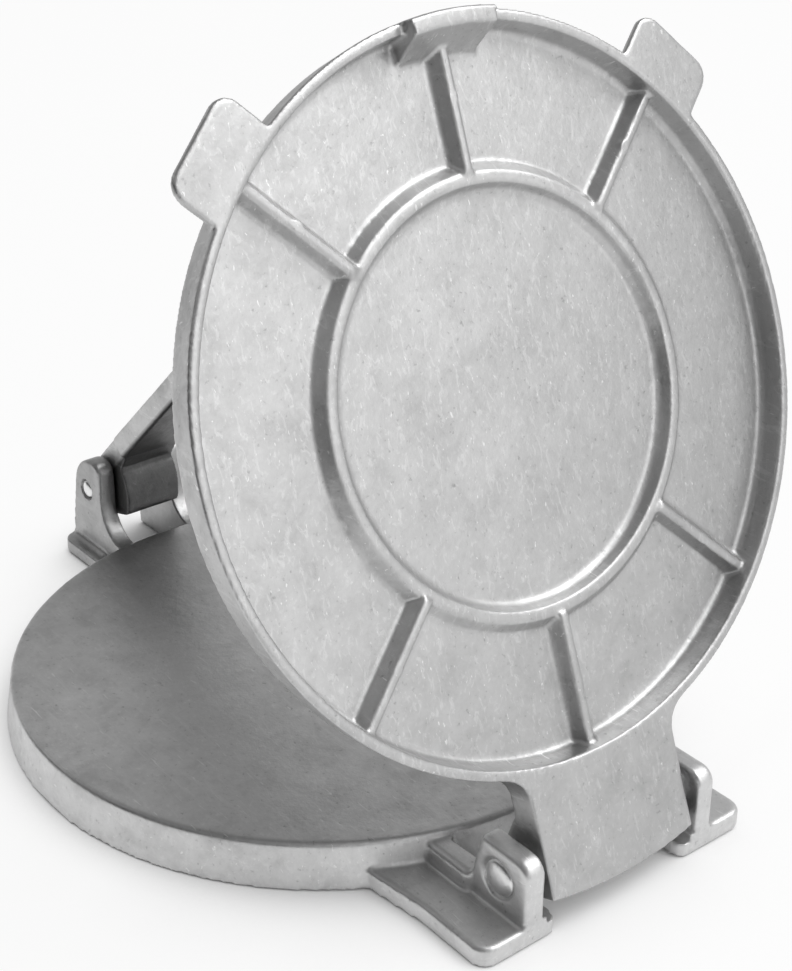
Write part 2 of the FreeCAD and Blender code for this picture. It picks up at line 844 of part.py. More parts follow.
def build_lid():
    build_lid_disc()
    build_tab()
    front, rear = size["front_rib_angle"], size["rear_rib_angle"]
    build_ribs("front_rib", -front, front)
    build_ribs("rear_rib", as_size(full_turn / 2) - rear, rear)
    build_boss()
    build_tongue()


# Lever casting: built level about its pin, pointing to -X, heights from the pin

lever = new_body("lever_casting")


def build_lever_arm():
    # Flat arm with sides draughted both ways from a parting line at half its thickness
    shoulder = -size["shoulder_distance"]
    tip = -size["lever_length"]
    half = size["lever_arm_half_width"]
    lean = size["lever_side_angle"]
    corner = size["shoulder_round"]
    tip_round = size["lever_tip_round"]

    def corner_centre(x, radius):
        # Centre of the arc that touches the leaning side and the end at x -/+ the radius
        side = half - (shoulder - x) * sine(lean) / cosine(lean)
        return side - radius / cosine(lean)

    shoulder_x = shoulder - corner
    shoulder_y = corner_centre(shoulder_x, corner)
    tip_x = tip + tip_round
    tip_y = corner_centre(tip_x, tip_round)
    shoulder_touch = (shoulder_x - corner * sine(lean), shoulder_y + corner * cosine(lean))
    tip_touch = (tip_x - tip_round * sine(lean), tip_y + tip_round * cosine(lean))
    sketch = new_sketch(lever, "arm_outline", "XY_Plane", size["lever_thickness"] / 2)
    add_outline(sketch, [
        (shoulder, -shoulder_y),
        (shoulder, shoulder_y, corner, 1),
        shoulder_touch,
        (tip_touch[0], tip_touch[1], tip_round, 1),
        (tip, tip_y),
        (tip, -tip_y, tip_round, 1),
        (tip_touch[0], -tip_touch[1]),
        (shoulder_touch[0], -shoulder_touch[1], corner, 1),
    ])
    arm = new_pad(lever, "arm", sketch, size["lever_thickness"], both_ways=True)
    bind(arm, "TaperAngle", -size["lever_draft_angle"])
    bind(arm, "TaperAngle2", -size["lever_draft_angle"])
    settle(arm)

    def face_edge(edge):
        box = edge.BoundBox
        at_face = near(box.ZMin, 0) or near(box.ZMax, size["lever_thickness"].value)
        return near(box.ZMin, box.ZMax) and at_face

    new_chamfer(lever, "arm_edges", arm, size["lever_edge"], face_edge)


def build_lever_head():
    # Rounded head in the slot, with the heel on the pressing side
    heel = size["heel_radius"]
    back = size["lever_head_radius"]
    top = size["lever_thickness"]
    reach = size["shoulder_distance"] + size["overrun"]
    sketch = new_sketch(lever, "head_outline", "XZ_Plane")
    lift = size["heel_depth"]
    add_outline(sketch, [
        (-reach, zero),
        (-root(heel * heel - lift * lift), -lift, heel, 1),
        (-size["heel_foot_half_width"], -root(heel * heel - size["heel_foot_half_width"] * size["heel_foot_half_width"])),
        (size["heel_foot_half_width"], -root(back * back - size["heel_foot_half_width"] * size["heel_foot_half_width"]),
         back, 1),
        (root(back * back - top * top), top),
        (-reach, top),
    ])
    head = new_pad(lever, "head", sketch, size["lever_head_half_width"] * 2, both_ways=True)

    def crest(edge):
        spot = edge.CenterOfMass
        at_back = near(spot.x, root(back * back - top * top).value) and near(spot.z, top.value)
        at_heel = near(spot.x, -size["heel_foot_half_width"].value)
        return runs_along(edge, "y") and (at_back or at_heel)

    new_fillet(lever, "head_crests", head, size["head_round"], crest)


def build_lever():
    build_lever_arm()
    build_lever_head()
    sketch = new_sketch(lever, "lever_bore_circle", "XZ_Plane")
    add_circle(sketch, zero, zero, size["lever_pin_radius"] + size["turning_fit"])
    width = (size["lever_head_half_width"] + size["overrun"]) * 2
    new_pocket(lever, "lever_bore", sketch, width, both_ways=True)


# Pins: turned about their own axes along Y, ends chamfered and set back a little in their mouths

def build_pin(name, radius, outer):
    pin = new_body(name)
    chamfer = size["pin_chamfer"]
    end = outer - size["pin_set_back"]
    sketch = new_sketch(pin, name + "_profile", "XY_Plane")
    add_outline(sketch, [
        (zero, -end),
        (radius - chamfer, -end),
        (radius, -end + chamfer),
        (radius, end - chamfer),
        (radius - chamfer, end),
        (zero, end),
    ])
    new_turning(pin, name + "_turning", sketch)
    return pin


def place(body, x, z, axis=None, angle=None):
    # Puts a body where it belongs, turned about the axis by the angle in degrees
    if angle is None:
        body.Placement = FreeCAD.Placement(FreeCAD.Vector(x.value, 0, z.value), FreeCAD.Rotation())
    else:
        turn = FreeCAD.Rotation(FreeCAD.Vector(*axis), angle.value)
        body.Placement = FreeCAD.Placement(FreeCAD.Vector(x.value, 0, z.value), turn)
        body.setExpression("Placement.Rotation.Angle", angle.text)
    body.setExpression("Placement.Base.x", x.text)
    body.setExpression("Placement.Base.z", z.text)


build_base()
build_lid()
build_lever()
hinge_pin = build_pin("hinge_pin", size["hinge_pin_radius"], hinge_ear_outer)
lever_pin = build_pin("lever_pin", size["lever_pin_radius"], lever_ear_outer)

lid_x = hinge_x + hinge_distance * cosine(lid_angle)
lid_z = size["hinge_pin_height"] + hinge_distance * sine(lid_angle)
place(lid, lid_x, lid_z, (0, -1, 0), lid_angle)
place(lever, lever_x, size["lever_pin_height"], (0, 1, 0), size["lever_angle"])
place(hinge_pin, hinge_x, size["hinge_pin_height"])
place(lever_pin, lever_x, size["lever_pin_height"])
doc.recompute()

# Nothing is written while a feature is in error or a shape is empty
bodies = [base, lid, lever, hinge_pin, lever_pin]
for feature in doc.Objects:
    if "Invalid" in feature.State or "Error" in feature.State:
        raise RuntimeError(feature.Name + " is " + str(feature.State))
for body in bodies:
    if body.Shape.isNull() or not body.Shape.isValid() or len(body.Shape.Solids) != 1:
        raise RuntimeError(body.Label + " is not one sound solid")

os.makedirs("parts", exist_ok=True)
for body in bodies:
    body.Shape.exportStep("parts/" + body.Label + ".step")
    print(body.Label, round(body.Shape.Volume), body.Shape.BoundBox)
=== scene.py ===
import bpy
import json
import math
from mathutils import Matrix, Vector


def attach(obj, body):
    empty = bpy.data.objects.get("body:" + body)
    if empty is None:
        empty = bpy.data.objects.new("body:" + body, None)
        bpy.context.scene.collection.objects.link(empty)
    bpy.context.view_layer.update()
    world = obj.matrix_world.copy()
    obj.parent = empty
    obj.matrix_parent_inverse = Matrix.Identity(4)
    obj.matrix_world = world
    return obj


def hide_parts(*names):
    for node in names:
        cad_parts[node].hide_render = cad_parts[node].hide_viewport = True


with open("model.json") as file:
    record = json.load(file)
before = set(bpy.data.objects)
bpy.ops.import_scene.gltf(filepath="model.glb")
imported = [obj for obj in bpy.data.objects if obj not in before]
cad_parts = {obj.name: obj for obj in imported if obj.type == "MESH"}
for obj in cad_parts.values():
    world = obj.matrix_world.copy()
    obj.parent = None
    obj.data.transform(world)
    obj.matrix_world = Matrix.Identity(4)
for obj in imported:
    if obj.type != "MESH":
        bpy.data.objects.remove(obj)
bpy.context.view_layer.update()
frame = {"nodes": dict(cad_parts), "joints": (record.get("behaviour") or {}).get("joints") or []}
nodes = frame["nodes"]
print("frame loaded:", ", ".join(sorted(nodes)))


# Helpers shared by the pieces

rodSides = 64
hair = 0.0001           # metres: points nearer than this share a place
nearby = 0.001
halfEar = 0.01          # parts an ear's far points from its near ones


def freshSelection(thing=None):
    if bpy.context.object and bpy.context.object.mode != "OBJECT":
        bpy.ops.object.mode_set(mode="OBJECT")
    bpy.ops.object.select_all(action="DESELECT")
    if thing:
        thing.select_set(True)
        bpy.context.view_layer.objects.active = thing


def settlePiece(thing):  # place, turn and size go into the mesh
    freshSelection(thing)
    bpy.ops.object.transform_apply(location=True, rotation=True, scale=True)


def applyModifier(thing, kind, name, **settings):
    modifier = thing.modifiers.new(name, kind)
    for key, value in settings.items():
        setattr(modifier, key, value)
    freshSelection(thing)
    bpy.ops.object.modifier_apply(modifier=modifier.name)


def newBlock(name, low, high):  # block between two corners
    freshSelection()
    bpy.ops.mesh.primitive_cube_add(size=1, location=[(a + b) / 2 for a, b in zip(low, high)])
    block = bpy.context.object
    block.name = name
    block.scale = [b - a for a, b in zip(low, high)]
    settlePiece(block)
    return block


def newRod(name, radius, centre, halfLength):  # round bar along Y
    freshSelection()
    bpy.ops.mesh.primitive_cylinder_add(vertices=rodSides, radius=radius, depth=halfLength * 2, location=centre,
                                        rotation=(math.pi / 2, 0, 0))
    rod = bpy.context.object
    rod.name = name
    settlePiece(rod)
    return rod


def pickPoints(thing, chosen):  # edit mode, with the points that the test picks out
    freshSelection(thing)
    bpy.ops.object.mode_set(mode="EDIT")
    bpy.ops.mesh.select_mode(type="VERT")
    bpy.ops.mesh.select_all(action="DESELECT")
    bpy.ops.object.mode_set(mode="OBJECT")
    points = thing.data.vertices
    for point in points:
        point.select = chosen(point.co)
    for edge in thing.data.edges:
        edge.select = all(points[index].select for index in edge.vertices)
    for face in thing.data.polygons:
        face.select = all(points[index].select for index in face.vertices)
    bpy.ops.object.mode_set(mode="EDIT")


def roundEdges(thing, rounding, chosen):  # rounding is a radius and a count of steps
    pickPoints(thing, chosen)
    bpy.ops.mesh.bevel(offset=rounding[0], segments=rounding[1], affect="EDGES")
    bpy.ops.object.mode_set(mode="OBJECT")


def cutAway(thing, cutter):
    applyModifier(thing, "BOOLEAN", "cut", operation="DIFFERENCE", solver="EXACT", object=cutter)
    freshSelection(cutter)
    bpy.ops.object.delete()


def joinTo(thing, others):
    freshSelection(thing)
    for other in others:
        other.select_set(True)
    bpy.ops.object.join()


# Cast skins: each casting's sharp solid gets the soft edges and slightly wavy faces of the drum

skinLook = {
    "mergeDistance": 0.00001,
    "smoothFactor": 0.5,
    "waves": (0.011, 0.00016),      # metres from hollow to hollow, and depth
    "pebbles": (0.0028, 0.00006),
}

hingePlace = Vector(next(joint["pos_m"] for joint in frame["joints"] if joint["name"] == "lid_hinge"))
leverPlace = Vector(next(joint["pos_m"] for joint in frame["joints"] if joint["name"] == "lever_pivot"))


def dentSkin(skin, name):
    spacing, depth = skinLook[name]
    texture = bpy.data.textures.new(skin.name + " " + name, "CLOUDS")
    texture.noise_scale = spacing
    applyModifier(skin, "DISPLACE", name, texture=texture, strength=depth, mid_level=1.0)


def castSkin(cast, reshape, centre=None):
    freshSelection(nodes[cast["node"]])
    bpy.ops.object.duplicate()
    skin = bpy.context.object
    skin.name = cast["piece"]
    skin.parent = None
    for key in list(skin.keys()):
        del skin[key]
    # Flat faces are brought level with the axes first, so that the new mesh runs straight over them
    level = Matrix.Identity(4)
    if centre is not None:
        turn = Matrix.Rotation(math.radians(cast["tilt"]), 4, "Y")
        level = Matrix.Translation(centre) @ turn @ Matrix.Translation(-centre)
    skin.data.transform(level)
    bpy.ops.object.mode_set(mode="EDIT")
    bpy.ops.mesh.select_all(action="SELECT")
    bpy.ops.mesh.remove_doubles(threshold=skinLook["mergeDistance"])
    bpy.ops.mesh.normals_make_consistent(inside=False)
    bpy.ops.object.mode_set(mode="OBJECT")
    reshape(skin)
    applyModifier(skin, "REMESH", "even mesh", mode="VOXEL", voxel_size=cast["voxel"], use_smooth_shade=True)
    applyModifier(skin, "SMOOTH", "soft edges", factor=skinLook["smoothFactor"], iterations=cast["passes"])
    dentSkin(skin, "waves")
    dentSkin(skin, "pebbles")
    applyModifier(skin, "DECIMATE", "lighter", ratio=cast["keepShare"])
    skin.data.transform(level.inverted())
    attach(skin, cast["body"])
    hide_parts(cast["node"])
    print(cast["piece"], "has", len(skin.data.polygons), "faces")
    return skin


# Base: fuller ears, feet and webs than the plain solid's

baseCast = {
    "node": "base_casting", "piece": "base_skin", "body": "base", "slot": "base_cast",
    "voxel": 0.00070, "keepShare": 0.45, "passes": 2,
}
hingeEar = {
    "far": -0.1321, "front": -0.1080, "lean": 0.0051, "top": 0.0259, "inner": 0.0288, "outer": 0.0355,
    "farRound": (0.0050, 8), "frontRound": (0.0016, 4), "rimRound": (0.0022, 4),
    "bore": 0.00487, "mouth": 0.0058, "mouthDepth": 0.0014,
    "oldSpan": (-0.1331, -0.1070), "oldSides": (0.0270, 0.03555), "oldRoot": 0.0063,
}
leverEar = {
    "front": 0.1113, "back": 0.1334, "lean": 0.0060, "top": 0.0401, "inner": 0.0110, "outer": 0.0175,
    "frontRound": (0.0040, 6), "backRound": (0.0110, 10), "rimRound": (0.0009, 3),
    "bore": 0.00307, "mouth": 0.0037, "mouthDepth": 0.0014,
    "webTop": 0.0254, "webFoot": 0.0124, "webRadius": 0.0130, "webStart": 0.0962,
    "footTop": 0.0054, "footSide": 0.0223, "footEnd": 0.1339, "footRound": (0.0055, 8),
    "oldSpan": (0.1022, 0.1344), "oldSides": (0.0107, 0.01755), "oldRoot": 0.0085,
}
bead = {
    "start": -0.0860, "end": -0.1112, "inner": 0.0300, "outer": 0.0372, "top": 0.0121,
    "endRound": (0.0030, 8), "topRound": (0.0022, 5), "innerRound": (0.0012, 3),
}
rootRise = 0.0085       # an ear's outline is worked above this height
farOut = 0.03           # half the length of a boring rod


def boreEar(ear, look, place):
    mouthMiddle = look["outer"] - look["mouthDepth"] + farOut
    cutAway(ear, newRod("bore", look["bore"], (place.x, look["inner"], place.z), farOut))
    cutAway(ear, newRod("mouth", look["mouth"], (place.x, mouthMiddle, place.z), farOut))


def leanPoints(thing, lean, chosen):
    pickPoints(thing, chosen)
    bpy.ops.transform.translate(value=(-lean, 0, 0))


def newHingeEar():
    look = hingeEar
    front = look["front"] - look["lean"] - hair
    roundedTop = look["top"] - look["farRound"][0] - hair
    ear = newBlock("hinge ear", (look["far"], look["inner"], 0), (look["front"], look["outer"], look["top"]))
    leanPoints(ear, look["lean"], lambda point: point.x > look["far"] + halfEar and point.z > rootRise)
    roundEdges(ear, look["farRound"], lambda point: point.x < look["far"] + nearby and point.z > rootRise)
    roundEdges(ear, look["frontRound"], lambda point: point.x > front and point.z > rootRise)
    roundEdges(ear, look["rimRound"], lambda point: point.y > look["outer"] - hair and (
        point.x < look["far"] + hair or point.z > roundedTop))
    boreEar(ear, look, hingePlace)
    return ear


def newBead():
    look = bead
    strip = newBlock("bead", (look["end"], look["inner"], 0), (look["start"], look["outer"], look["top"]))
    roundEdges(strip, look["endRound"],
               lambda point: point.x < look["end"] + hair and point.y > look["outer"] - hair)
    roundEdges(strip, look["topRound"], lambda point: point.z > nearby and point.y > look["inner"] + hair)
    roundEdges(strip, look["innerRound"], lambda point: point.z > nearby and point.y < look["inner"] + hair)
    return strip


def newLeverEar():
    look = leverEar
    ear = newBlock("lever ear", (look["front"], look["inner"], 0), (look["back"], look["outer"], look["top"]))
    leanPoints(ear, look["lean"], lambda point: point.x > look["back"] - nearby and point.z > rootRise)
    roundEdges(ear, look["backRound"], lambda point: point.x > look["front"] + halfEar and point.z > rootRise)
    roundEdges(ear, look["frontRound"], lambda point: point.x < look["front"] + hair and point.z > rootRise)
    roundEdges(ear, look["rimRound"], lambda point: point.y > look["outer"] - hair and point.z > rootRise)
    boreEar(ear, look, leverPlace)
    web = newBlock("web", (look["webStart"], look["inner"], 0),
                   (look["front"] + nearby, look["outer"], look["webTop"]))
    webCentre = (look["front"] - look["webRadius"], look["inner"], look["webFoot"] + look["webRadius"])
    cutAway(web, newRod("web round", look["webRadius"], webCentre, farOut))
    foot = newBlock("lever foot", (look["webStart"], look["inner"], 0),
                    (look["footEnd"], look["footSide"], look["footTop"]))
    roundEdges(foot, look["footRound"],
               lambda point: point.x > look["footEnd"] - nearby and point.y > look["outer"])
    return [ear, web, foot]


def reshapeBase(skin):
    for look in (hingeEar, leverEar):
        for side in (1, -1):
            near, far = sorted(side * edge for edge in look["oldSides"])
            cutAway(skin, newBlock("old ear", (look["oldSpan"][0], near, look["oldRoot"]),
                                   (look["oldSpan"][1], far, farOut * 2)))
    added = [newHingeEar(), newBead()] + newLeverEar()
    joinTo(added[0], added[1:])
    applyModifier(added[0], "MIRROR", "other side", use_axis=(False, True, False), use_mirror_merge=False)
    joinTo(skin, added[:1])


# Lid: ribs with broad feet and narrow soft crests

lidCast = {
    "node": "lid_casting", "piece": "lid_skin", "body": "lid", "slot": "lid_cast",
    "voxel": 0.00065, "keepShare": 0.45, "passes": 1, "tilt": 68.97,
}
rib = {
    "start": 0.0584, "end": 0.09705, "floor": 0.0184, "top": 0.02265,
    "footHalf": 0.0036, "sunk": 0.0005, "crestShare": 0.34,
    "angles": (-44.5, 0.0, 44.5, 135.0, 180.0, 225.0),
}


def reshapeLid(skin):
    ribs = []
    for angle in rib["angles"]:
        strip = newBlock("rib", (rib["start"], -rib["footHalf"], rib["floor"] - rib["sunk"]),
                         (rib["end"], rib["footHalf"], rib["top"]))
        pickPoints(strip, lambda point: point.z > rib["floor"])
        bpy.ops.transform.resize(value=(1, rib["crestShare"], 1))
        bpy.ops.object.mode_set(mode="OBJECT")
        strip.rotation_euler = (0, 0, math.radians(angle))
        settlePiece(strip)
        ribs.append(strip)
    joinTo(skin, ribs)


# Lever: thicker arm than the plain solid's

leverCast = {
    "node": "lever_casting", "piece": "lever_skin", "body": "lever", "slot": "lever_cast",
    "voxel": 0.00055, "keepShare": 0.6, "passes": 2, "tilt": -44.0,
}
leverTop = {"from": 0.0050, "raise": 0.0011}


def reshapeLever(skin):
    pickPoints(skin, lambda point: point.z > leverPlace.z + leverTop["from"])
    bpy.ops.transform.translate(value=(0, 0, leverTop["raise"]))
    bpy.ops.object.mode_set(mode="OBJECT")


baseSkin = castSkin(baseCast, reshapeBase)
lidSkin = castSkin(lidCast, reshapeLid, hingePlace)
leverSkin = castSkin(leverCast, reshapeLever, leverPlace)


# Pins: both ends peened to low domes

pinLook = {
    "hinge_pin": {"radius": 0.0047, "half": 0.0347, "edge": (0.0008, 2),
                  "head": 0.0053, "rise": 0.0018, "seat": 0.0342},
    "lever_pin": {"radius": 0.0030, "half": 0.0168, "edge": (0.0005, 2),
                  "head": 0.0032, "rise": 0.0013, "seat": 0.0163},
}
headSegments = 48
headRings = 24


def peenedPin(nodeName, pieceName, place):
    look = pinLook[nodeName]
    rod = newRod(pieceName, look["radius"], (place.x, 0, place.z), look["half"])
    roundEdges(rod, look["edge"], lambda point: point.y > 0)
    roundEdges(rod, look["edge"], lambda point: point.y < 0)
    heads = []
    for side in (1, -1):
        freshSelection()
        bpy.ops.mesh.primitive_uv_sphere_add(segments=headSegments, ring_count=headRings, radius=look["head"],
                                             location=(place.x, side * look["seat"], place.z))
        head = bpy.context.object
        head.scale = (1, look["rise"] / look["head"], 1)
        settlePiece(head)
        heads.append(head)
    joinTo(rod, heads)
    freshSelection(rod)
    bpy.ops.object.shade_smooth()
    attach(rod, "base")
    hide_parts(nodeName)
    return rod


hingeRod = peenedPin("hinge_pin", "hinge_rod", hingePlace)
leverRod = peenedPin("lever_pin", "lever_rod", leverPlace)
print("pins ready")


# Cast and tumbled aluminium, steel pins. Stops are pairs of a place and a grey

castLook = {
    "bright": 0.66,      # clean metal between the stains
    "middle": 0.63,
    "dull": 0.60,        # grey bloom in the skin of the casting
    "roughLow": 0.36,
    "roughHigh": 0.52,
    "edgeTone": 0.86,    # rubbed bare on the edges
    "edgeRough": 0.30,
    "edgeReach": 0.0016,
    "edgeStops": [(0.25, 1.0), (0.62, 0.0)],
    # how far and how deep the corners are darkened: partly grime, partly painted shade
    "creviceGrimeAndShadeReach": 0.004,
    "creviceGrimeAndShadeStops": [(0.30, 0.34), (0.80, 1.0)],
    "clouds": {"Scale": 26.0, "Detail": 6.0, "Roughness": 0.62, "Distortion": 0.6},
    "patches": {"Scale": 95.0, "Detail": 5.0, "Roughness": 0.7, "Distortion": 0.3},
    "patchStops": [(0.28, 0.88), (0.5, 1.0), (0.74, 1.07)],
    "specks": {"Scale": 620.0, "Detail": 3.0, "Roughness": 0.6, "Distortion": 0.0},
    "speckStops": [(0.26, 0.62), (0.36, 0.96), (0.62, 1.0), (0.72, 1.12)],
    "speckShare": 0.8,
    "rubTurn": (0.5, 0.3, 0.8),
    "rubStretch": (1.0, 9.0, 4.0),
    "rubs": {"Scale": 60.0, "Detail": 4.0, "Roughness": 0.6, "Distortion": 1.0},
    "rubStops": [(0.56, 0.0), (0.66, 0.5), (0.70, 0.0)],
    "rubGain": 1.15,
    "nicks": {"Scale": 150.0, "Detail": 2.0, "Roughness": 0.5, "Distortion": 0.4},
    "nickStops": [(0.69, 0.0), (0.74, 0.8)],
    "dents": {"Scale": 150.0, "Detail": 2.0, "Roughness": 0.5, "Distortion": 0.0},
    "dentBump": {"Strength": 0.14, "Distance": 0.0006},
    "skinBump": {"Strength": 0.65, "Distance": 0.00012},
}
shadeSamples = 8


def link(tree, fromNode, fromName, toNode, toName):
    tree.links.new(fromNode.outputs[fromName], toNode.inputs[toName])


def setInputs(node, values):
    for name, value in values.items():
        node.inputs[name].default_value = value


def addNode(tree, kind, x, y, **settings):
    node = tree.nodes.new(kind)
    node.location = (x, y)
    for key, value in settings.items():
        setattr(node, key, value)
    return node


def addNoise(tree, source, grain, x, y):
    noise = addNode(tree, "ShaderNodeTexNoise", x, y)
    setInputs(noise, grain)
    link(tree, source, "Vector", noise, "Vector")
    return noise


def addRamp(tree, source, socket, stops, x, y):
    ramp = addNode(tree, "ShaderNodeValToRGB", x, y)
    band = ramp.color_ramp
    for element, (place, grey) in ((band.elements[0], stops[0]), (band.elements[1], stops[-1])):
        element.position = place
        element.color = (grey, grey, grey, 1)
    for place, grey in stops[1:-1]:
        stop = band.elements.new(place)
        stop.color = (grey, grey, grey, 1)
    link(tree, source, socket, ramp, "Fac")
    return ramp


def addMix(tree, factor, first, second, x, y, blend="MIX"):
    mix = addNode(tree, "ShaderNodeMix", x, y, data_type="RGBA", blend_type=blend)
    for value, name in ((factor, 0), (first, 6), (second, 7)):
        if isinstance(value, tuple):
            tree.links.new(value[0].outputs[value[1]], mix.inputs[name])
        elif name == 0:
            mix.inputs[0].default_value = value
        else:
            mix.inputs[name].default_value = (value, value, value, 1)
    return mix


def addShade(tree, reach, x, y, **settings):  # how open or how thin the place is
    shade = addNode(tree, "ShaderNodeAmbientOcclusion", x, y, samples=shadeSamples, **settings)
    shade.inputs["Distance"].default_value = reach
    return shade


def addBump(tree, look, source, x, y):
    bump = addNode(tree, "ShaderNodeBump", x, y)
    setInputs(bump, look)
    link(tree, source, "Fac", bump, "Height")
    return bump


def newMaterial(name):
    material = bpy.data.materials.new(name)
    material.use_nodes = True
    return material, material.node_tree, material.node_tree.nodes["Principled BSDF"]


def castMaterial(name, turn, bright, dull=None):
    look = castLook
    material, tree, shader = newMaterial(name)
    shader.location = (900, 0)
    place = addNode(tree, "ShaderNodeTexCoord", -1500, 0)
    mapping = addNode(tree, "ShaderNodeMapping", -1300, 0)
    mapping.inputs["Rotation"].default_value = turn
    link(tree, place, "Object", mapping, "Vector")

    clouds = addNoise(tree, mapping, look["clouds"], -1000, 500)
    cloudStops = [(0.30, look["dull"] * bright), (0.50, look["middle"] * bright), (0.70, look["bright"] * bright)]
    cloudTone = addRamp(tree, clouds, "Fac", cloudStops, -760, 500)
    patches = addNoise(tree, mapping, look["patches"], -1000, 240)
    patchTone = addRamp(tree, patches, "Fac", look["patchStops"], -760, 240)
    colour = addMix(tree, 1.0, (cloudTone, "Color"), (patchTone, "Color"), -480, 420, "MULTIPLY")

    specks = addNoise(tree, mapping, look["specks"], -1000, -20)
    speckTone = addRamp(tree, specks, "Fac", look["speckStops"], -760, -20)
    colour = addMix(tree, look["speckShare"], (colour, "Result"), (speckTone, "Color"), -240, 360, "MULTIPLY")

    # Long faint rubs from the tumbling drum
    stretch = addNode(tree, "ShaderNodeMapping", -1300, -420)
    setInputs(stretch, {"Rotation": [a + b for a, b in zip(turn, look["rubTurn"])], "Scale": look["rubStretch"]})
    link(tree, place, "Object", stretch, "Vector")
    rubs = addNoise(tree, stretch, look["rubs"], -1000, -420)
    rubTone = addRamp(tree, rubs, "Fac", look["rubStops"], -760, -420)
    colour = addMix(tree, (rubTone, "Color"), (colour, "Result"), look["bright"] * look["rubGain"], 0, 300)
    # Small bright nicks where castings knocked together
    nicks = addNoise(tree, stretch, look["nicks"], -1000, -660)
    nickTone = addRamp(tree, nicks, "Fac", look["nickStops"], -760, -660)
    colour = addMix(tree, (nickTone, "Color"), (colour, "Result"), look["edgeTone"], 90, 200)

    if dull:  # painted shade: the colour is darkened towards the side of the casting that is in shade
        reach = addNode(tree, "ShaderNodeVectorMath", -1000, -900, operation="DOT_PRODUCT")
        link(tree, place, "Object", reach, 0)
        reach.inputs[1].default_value = dull["towards"]
        along = addNode(tree, "ShaderNodeMapRange", -760, -900)
        setInputs(along, {"From Min": dull["from"], "From Max": dull["to"], "To Min": 1.0, "To Max": dull["share"]})
        link(tree, reach, "Value", along, "Value")
        colour = addMix(tree, 1.0, (colour, "Result"), (along, "Result"), 140, 100, "MULTIPLY")

    # Corners and crevices are darkened in the colour, partly grime and partly painted shade; edges are rubbed
    # bright
    cornerGrimeAndShade = addShade(tree, look["creviceGrimeAndShadeReach"], -480, 800, only_local=True)
    cornerGrimeAndShadeTone = addRamp(tree, cornerGrimeAndShade, "AO", look["creviceGrimeAndShadeStops"], -240, 800)
    colour = addMix(tree, 1.0, (colour, "Result"), (cornerGrimeAndShadeTone, "Color"), 180, 420, "MULTIPLY")
    edges = addShade(tree, look["edgeReach"], -480, 1060, only_local=True, inside=True)
    edgeTone = addRamp(tree, edges, "AO", look["edgeStops"], -240, 1060)
    wear = addMix(tree, 1.0, (edgeTone, "Color"), (patchTone, "Color"), 0, 1000, "MULTIPLY")
    colour = addMix(tree, (wear, "Result"), (colour, "Result"), look["edgeTone"], 360, 420)
    link(tree, colour, "Result", shader, "Base Color")

    gloss = addRamp(tree, patches, "Fac", [(0.25, look["roughHigh"]), (0.75, look["roughLow"])], -240, -60)
    gloss = addMix(tree, (wear, "Result"), (gloss, "Color"), look["edgeRough"], 360, 0)
    link(tree, gloss, "Result", shader, "Roughness")
    shader.inputs["Metallic"].default_value = 1.0

    # Relief: drum dents, then the fine cast skin
    dents = addNoise(tree, mapping, look["dents"], -480, -320)
    dentBump = addBump(tree, look["dentBump"], dents, 260, -320)
    skinBump = addBump(tree, look["skinBump"], specks, 500, -320)
    link(tree, dentBump, "Normal", skinBump, "Normal")
    link(tree, skinBump, "Normal", shader, "Normal")
    return material


def dress(thing, material):
    thing.data.materials.clear()
    thing.data.materials.append(material)


# Painted shade: the base is darker towards its lever end, the lid towards its -Y side and lower part, and the lever
# on its underside
paintedShadeSide = {
    "base": {"towards": (1, 0, 0), "from": 0.02, "to": 0.11, "share": 0.66},
    "lid": {"towards": (0, -1, -0.9), "from": -0.14, "to": 0.05, "share": 0.84},
    "lever": {"towards": (-0.6947, 0, -0.7193), "from": -0.1056, "to": -0.1044, "share": 0.22},
}
dress(baseSkin, castMaterial("tumbled casting of the base", (0.2, 0.1, 0.4), 1.08, paintedShadeSide["base"]))
dress(lidSkin, castMaterial("tumbled casting of the lid", (0.9, 0.3, 1.1), 0.91, paintedShadeSide["lid"]))
dress(leverSkin, castMaterial("tumbled casting of the lever", (0.4, 0.8, 0.2), 0.90, paintedShadeSide["lever"]))
pinMaterial = castMaterial("bright steel of the pins", (1.4, 0.2, 0.6), 1.25)
dress(hingeRod, pinMaterial)
dress(leverRod, pinMaterial)
print("castings dressed")


# Floor, light and camera

studio = {
    "floorSize": 6.0, "floorDrop": 0.0004, "floorRough": 0.9, "floorGrain": 40.0,
    "floorStops": [(0.0, 0.90), (1.0, 0.93)],
    "floorGlowShare": 0.92,  # of pure white, for what looks at the floor
    "shadeReach": 0.10, "shadeFrom": 0.25, "shadeTo": 0.85,
    "worldGrey": 0.56, "ceilingGrey": 0.16, "dimFrom": 0.50, "dimTo": 0.85,
    "sidePower": 2.8, "sideSize": 1.0, "sidePlace": (-1.15, -0.40, 0.64),
    "overheadPower": 30.0, "overheadSize": 1.6, "overheadPlace": (-0.75, -1.0, 1.9),
    "lampTarget": (0, 0, 0.08),
    "flagLow": (-1.0, 0.62, 0.0), "flagHigh": (1.35, 0.63, 0.42), "flagGrey": 0.02, "flagRough": 0.95,
}

freshSelection()
bpy.ops.mesh.primitive_plane_add(size=studio["floorSize"], location=(0, 0, -studio["floorDrop"]))
floor = bpy.context.object
floor.name = "floor"
settlePiece(floor)
floorMaterial, floorTree, floorShader = newMaterial("pale paper")
floorShader.inputs["Roughness"].default_value = studio["floorRough"]
floorPlace = addNode(floorTree, "ShaderNodeTexCoord", -800, 0)
floorNoise = addNode(floorTree, "ShaderNodeTexNoise", -600, 0)
floorNoise.inputs["Scale"].default_value = studio["floorGrain"]
link(floorTree, floorPlace, "Object", floorNoise, "Vector")
floorTone = addRamp(floorTree, floorNoise, "Fac", studio["floorStops"], -400, 0)
link(floorTree, floorTone, "Color", floorShader, "Base Color")
